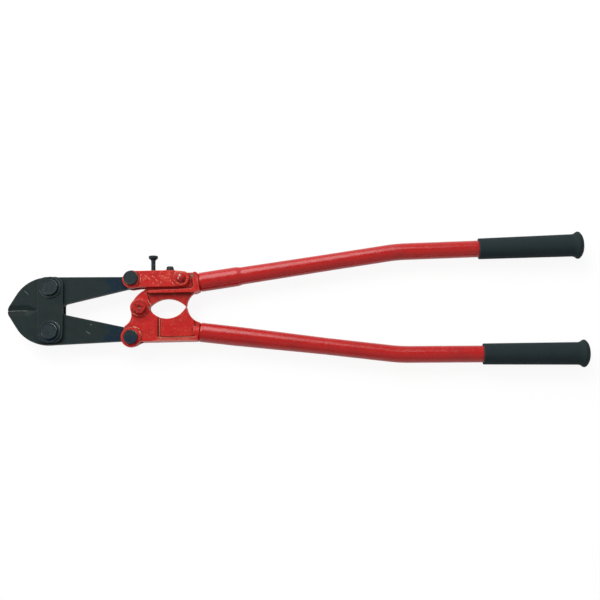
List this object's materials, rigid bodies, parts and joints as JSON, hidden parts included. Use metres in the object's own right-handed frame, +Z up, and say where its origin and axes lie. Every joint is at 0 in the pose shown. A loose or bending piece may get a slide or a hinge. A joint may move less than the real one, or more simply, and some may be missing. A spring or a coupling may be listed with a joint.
{
  "type": "bolt cutters",
  "caption": "Long-handled bolt cutters with forged jaws, link straps, cast heads with an adjusting arm, bent tube handles and rubber grips, lying closed.",
  "frame": {"origin": "on the centre pivot's axis, at the end face of its bolt, which is the lowest point the tool lies on", "axes": "+X from the jaws towards the grips, +Y towards the side of the adjusting screw, +Z up out of the flat side with the bolt heads"},
  "size_m": [0.7588, 0.1798, 0.0363],
  "materials": {
    "blade_black": "black oxide on forged steel, satin",
    "strap_black": "black oxide on rolled steel, satin",
    "fastener_black": "black oxide, satin",
    "screw_black": "black oxide, satin",
    "casting_red": "gloss red paint over a rough casting, chipped on edges",
    "arm_red": "gloss red paint over a rough casting, chipped on edges",
    "pivot_red": "gloss red paint, chipped to steel on the crowns",
    "tube_red": "gloss red paint",
    "grip_rubber": "matte black rubber"
  },
  "bodies": {
    "lower_handle": {"lower_handle_casting": "casting_red", "lower_handle_tube": "tube_red", "lower_grip": "grip_rubber", "lower_joint_bolt": "fastener_black", "lower_joint_nut": "fastener_black", "centre_pivot_bolt": "pivot_red", "centre_pivot_washer": "pivot_red", "centre_pivot_nut": "pivot_red"},
    "upper_handle": {"upper_handle_casting": "casting_red", "upper_handle_tube": "tube_red", "upper_grip": "grip_rubber", "arm_pivot_rivet": "pivot_red"},
    "adjusting_arm": {"adjusting_arm": "arm_red", "upper_joint_bolt": "fastener_black", "upper_joint_nut": "fastener_black", "lock_plate": "screw_black"},
    "adjusting_screw": {"adjusting_screw": "screw_black"},
    "clamp_screw": {"clamp_screw": "screw_black"},
    "lower_blade": {"lower_blade": "blade_black"},
    "upper_blade": {"upper_blade": "blade_black"},
    "straps": {"front_strap": "strap_black", "back_strap": "strap_black", "upper_blade_bolt": "fastener_black", "upper_blade_washer": "fastener_black", "upper_blade_lock_washer": "fastener_black", "upper_blade_nut": "fastener_black", "lower_blade_bolt": "fastener_black", "lower_blade_washer": "fastener_black", "lower_blade_lock_washer": "fastener_black", "lower_blade_nut": "fastener_black"}
  },
  "joints": [
    {"name": "handle_pivot", "type": "hinge", "parent": "lower_handle", "child": "upper_handle", "pos_m": [0, 0, 0.0182], "axis": [0, 0, 1], "range_deg": [0, 75]},
    {"name": "lower_blade_pivot", "type": "hinge", "parent": "lower_handle", "child": "lower_blade", "pos_m": [-0.011, -0.0388, 0.0182], "axis": [0, 0, 1], "range_deg": [0, 45]},
    {"name": "strap_pivot", "type": "hinge", "parent": "lower_blade", "child": "straps", "pos_m": [-0.1168, -0.029, 0.0182], "axis": [0, 0, 1], "range_deg": [-7.5, 0]},
    {"name": "upper_blade_pivot", "type": "hinge", "parent": "straps", "child": "upper_blade", "pos_m": [-0.1168, 0.029, 0.0182], "axis": [0, 0, 1], "range_deg": [-7.5, 0]},
    {"name": "arm_tilt", "type": "hinge", "parent": "upper_handle", "child": "adjusting_arm", "pos_m": [0.0545, 0.0378, 0.0182], "axis": [0, 0, 1], "range_deg": [-1, 1]},
    {"name": "adjusting_screw_travel", "type": "slide", "parent": "adjusting_arm", "child": "adjusting_screw", "axis": [0, 1, 0], "range_m": [-0.0008, 0.0008]},
    {"name": "clamp_screw_travel", "type": "slide", "parent": "upper_handle", "child": "clamp_screw", "axis": [0, 1, 0], "range_m": [0, 0.006]}
  ],
  "couplings": [
    {"joint": "lower_blade_pivot", "follows": "handle_pivot", "ratio": 0.59725},
    {"joint": "strap_pivot", "follows": "handle_pivot", "ratio": -0.09725},
    {"joint": "upper_blade_pivot", "follows": "handle_pivot", "ratio": -0.09725},
    {"joint": "adjusting_screw_travel", "follows": "arm_tilt", "m_per_rad": 0.0376}
  ]
}
